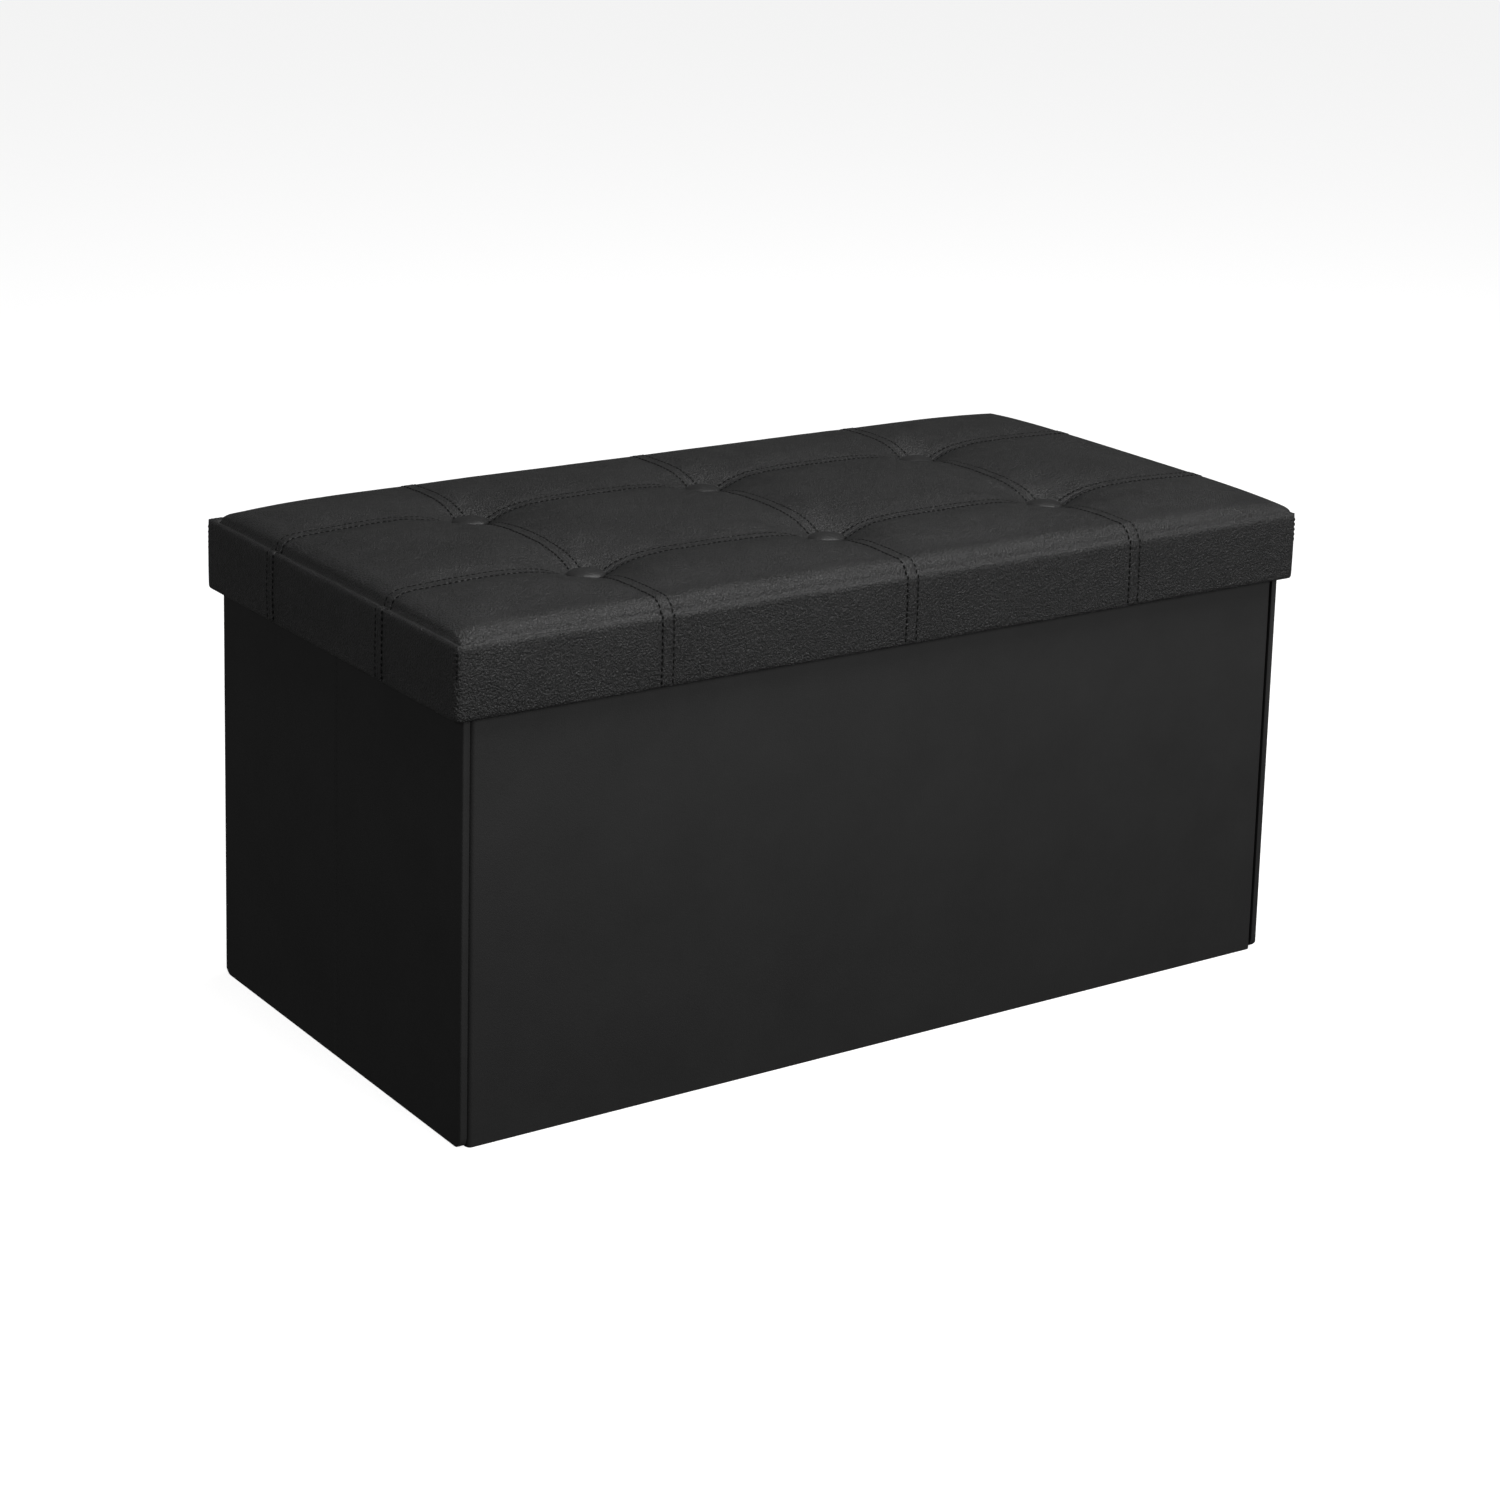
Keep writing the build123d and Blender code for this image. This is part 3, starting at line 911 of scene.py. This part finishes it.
def is_rim(edge):
    """Whether an edge lies along the outer part of a wall's top or foot."""
    a, b = (vert.co for vert in edge.verts)
    outer = a.y < 5 * MM and b.y < 5 * MM
    at_top = min(a.z, b.z) > WALL_TOP - MM
    at_foot = max(a.z, b.z) < FOOT
    upright = abs(a.x - b.x) + abs(a.y - b.y) <= 0.01 * MM
    level = [abs(face.normal.z) > 0.5 for face in edge.link_faces]
    steep = [abs(face.normal.z) < 0.5 for face in edge.link_faces]
    return outer and (at_top or at_foot) and not upright and any(level) and any(steep)


def make_wall_cover(name, angle, distance, start, end, mitres, tangent):
    """A wall's vinyl: rounded outside, open inside for the board and the lining."""
    bm = wall_block(start, end, mitres, tangent)
    round_feet(bm, start, end, mitres)
    bmesh.ops.bevel(
        bm, geom=[edge for edge in bm.edges if is_rim(edge)], offset=EDGE_SOFTNESS,
        offset_type="OFFSET", segments=3, profile=0.5, affect="EDGES", material=-1, clamp_overlap=True,
    )
    hollow_for_board(bm, start, end, mitres)
    turn = Matrix.Rotation(math.radians(angle), 4, "Z") @ Matrix.Translation((0, -distance, 0))
    bmesh.ops.transform(bm, matrix=turn, verts=bm.verts)
    cover = piece(f"{name}_skin", bm, WALL_VINYL, name, sharp=35)
    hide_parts(f"{name}_cover")


def hollow_for_board(bm, start, end, mitres):
    """Cuts the lining's recess and the board's pocket into a wall's inner face.

    The pocket's floor stops short of a front or rear wall's cut corners.
    """
    back = WALL - 0.01 * MM
    inner = [f for f in bm.faces if f.normal.y > 0.99 and f.calc_center_median().y > back]
    bmesh.ops.inset_region(bm, faces=inner, thickness=LINING_SETBACK, use_even_offset=True)
    board_margin = HALF_GAP + SKIN + 0.3 * MM
    for depth, margin, z_margin in (
        (WALL - LINING_DEPTH, HALF_GAP + LINING_SETBACK, LINING_SETBACK),
        (WALL - LINING_DEPTH, board_margin, SKIN),
        (SKIN, board_margin, SKIN),
    ):
        geom = bmesh.ops.extrude_face_region(bm, geom=inner)["geom"]
        inner = only(geom, bmesh.types.BMFace)
        low = end_place(start, 1, mitres[0], depth, margin)
        high = end_place(end, -1, mitres[1], depth, margin)
        if depth == SKIN and all(mitres):
            low = start + POCKET_END
            high = end - POCKET_END
        xs = [v.co.x for g in inner for v in g.verts]
        old_low, old_high = min(xs), max(xs)
        for vert in {v for g in inner for v in g.verts}:
            share = (vert.co.x - old_low) / (old_high - old_low)
            vert.co.x = low + share * (high - low)
            vert.co.y = depth
            vert.co.z = z_margin if vert.co.z < WALL_TOP / 2 else WALL_TOP - z_margin
    loose = [f for f in bm.faces if f.calc_area() < 1e-12]
    bmesh.ops.delete(bm, geom=loose, context="FACES")


CREASE_HALF = 2.6 * MM
STRIP_THICKNESS = 0.3 * MM
STRIP_ROW = 1.4 * MM


def crease_strip(face, way):
    """A thin strip over the fold, slightly swollen, with a faint hollow down its middle."""
    bm = bmesh.new()
    bmesh.ops.create_grid(bm, x_segments=10, y_segments=60, size=1.0)
    for vert in bm.verts:
        y = vert.co.x * CREASE_HALF
        z = SKIN + (vert.co.y + 1) / 2 * (WALL_TOP - 2 * SKIN)
        hollow = 0.04 * MM * bell(y, 0.9 * MM)
        crown = 0.10 * MM * (1 - (y / CREASE_HALF) ** 2)
        vert.co = Vector((face + way * (crown - hollow), y, z))
    back = bmesh.ops.duplicate(bm, geom=bm.faces[:])["geom"]
    bmesh.ops.translate(
        bm, verts=only(back, bmesh.types.BMVert), vec=(-way * STRIP_THICKNESS, 0, 0)
    )
    bmesh.ops.bridge_loops(bm, edges=[e for e in bm.edges if e.is_boundary])
    bmesh.ops.recalc_face_normals(bm, faces=bm.faces)
    return bm


def crease_threads(face, way):
    """Two rows of small stitches, one on each side of the fold."""
    threads = bmesh.new()
    up, out = Vector((0, 0, 1)), Vector((way, 0, 0))
    z = 8 * MM
    while z < WALL_TOP - 8 * MM:
        for y in (-STRIP_ROW, STRIP_ROW):
            place = Vector((face - way * STRIP_THICKNESS, y, z))
            add_stitch(threads, place, up, out, length=2.4 * MM, width=0.6 * MM)
        z += 6.0 * MM
    return threads


def make_crease(side, way):
    """The sewn strip over the fold at the middle of an end, with its stitches."""
    face = way * (BOX_HALF_LENGTH + 0.02 * MM)
    rear_edge = Vector((face, CREASE_HALF, 0))
    front_edge = Vector((face, -CREASE_HALF, 0))
    strip = piece(f"{side}_crease_strip", crease_strip(face, way), WALL_VINYL, None, sharp=60)
    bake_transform(strip, f"{side}_rear_half", f"{side}_front_half", start=rear_edge, end=front_edge)
    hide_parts(f"{side}_crease_bead")
    stitches = piece(
        f"{side}_crease_stitching", crease_threads(face, way), WALL_VINYL, None
    )
    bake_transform(stitches, f"{side}_rear_half", f"{side}_front_half", start=rear_edge, end=front_edge)


# ---------------------------------------------------------------- stage

CAMERA = {"azimuth": -34.24, "elevation": 11.81, "roll": 1.433, "distance": 4.0, "lens": 79.97}
SHIFT = (0.0049, -0.256)
TARGET = Vector((0.776, 1.173, 0.190))


def make_camera():
    """The view from the front left, a little above the lid."""
    azimuth, elevation = math.radians(CAMERA["azimuth"]), math.radians(CAMERA["elevation"])
    back = Vector((
        math.sin(azimuth) * math.cos(elevation),
        -math.cos(azimuth) * math.cos(elevation),
        math.sin(elevation),
    ))
    data = bpy.data.cameras.new("camera")
    data.sensor_width = 36.0
    data.lens = CAMERA["lens"]
    data.shift_x, data.shift_y = SHIFT
    camera = bpy.data.objects.new("camera", data)
    camera.location = TARGET + back * CAMERA["distance"]
    level = back.to_track_quat("Z", "Y").to_matrix().to_4x4()
    roll = Matrix.Rotation(math.radians(CAMERA["roll"]), 4, "Z")
    camera.rotation_euler = (level @ roll).to_euler()
    bpy.context.scene.collection.objects.link(camera)
    bpy.context.scene.camera = camera


def area_light(name, place, target, size, power):
    """A rectangular soft light that faces a target."""
    data = bpy.data.lights.new(name, "AREA")
    data.shape = "RECTANGLE"
    data.size, data.size_y = size
    data.energy = power
    light = bpy.data.objects.new(name, data)
    light.location = place
    light.rotation_euler = (Vector(place) - Vector(target)).to_track_quat("Z", "Y").to_euler()
    bpy.context.scene.collection.objects.link(light)


def make_stage():
    """A pale floor under plain soft light."""
    bm = bmesh.new()
    bmesh.ops.create_grid(bm, x_segments=1, y_segments=1, size=40.0)
    bmesh.ops.translate(bm, verts=bm.verts, vec=(0, 0, -0.2 * MM))
    mesh = bpy.data.meshes.new("floor")
    bm.to_mesh(mesh)
    bm.free()
    floor = bpy.data.objects.new("floor", mesh)
    bpy.context.scene.collection.objects.link(floor)
    made, tree, shader = material("pale_floor")
    shader.inputs["Base Color"].default_value = (0.5, 0.5, 0.5, 1)
    shader.inputs["Roughness"].default_value = 0.9
    shader.inputs["Emission Color"].default_value = (1, 1, 1, 1)
    shader.inputs["Emission Strength"].default_value = 0.85
    mesh.materials.append(made)
    floor.visible_glossy = False
    floor.visible_diffuse = False

    world = bpy.data.worlds.new("studio")
    world.use_nodes = True
    world.node_tree.nodes["Background"].inputs["Color"].default_value = (1, 1, 1, 1)
    world.node_tree.nodes["Background"].inputs["Strength"].default_value = 0.06
    bpy.context.scene.world = world
    middle = (0, 0, 0.2)
    area_light("overhead", (0.3, -0.5, 2.6), middle, (2.6, 1.8), 60)
    area_light("front_key", (1.5, -5.0, 2.0), middle, (3.6, 2.6), 170)
    area_light("left_rim", (-2.8, 0.3, 1.3), middle, (1.0, 1.4), 13)
    bpy.context.scene.view_settings.view_transform = "Standard"


STITCH = stitch_shape()
finish_cad_nodes()
puff = puffed_cover()
make_lid_cover(puff)
make_padding(puff)
make_buttons()
for wall in WALLS:
    make_wall_cover(*wall)
make_crease("left", -1)
make_crease("right", 1)
make_camera()
make_stage()
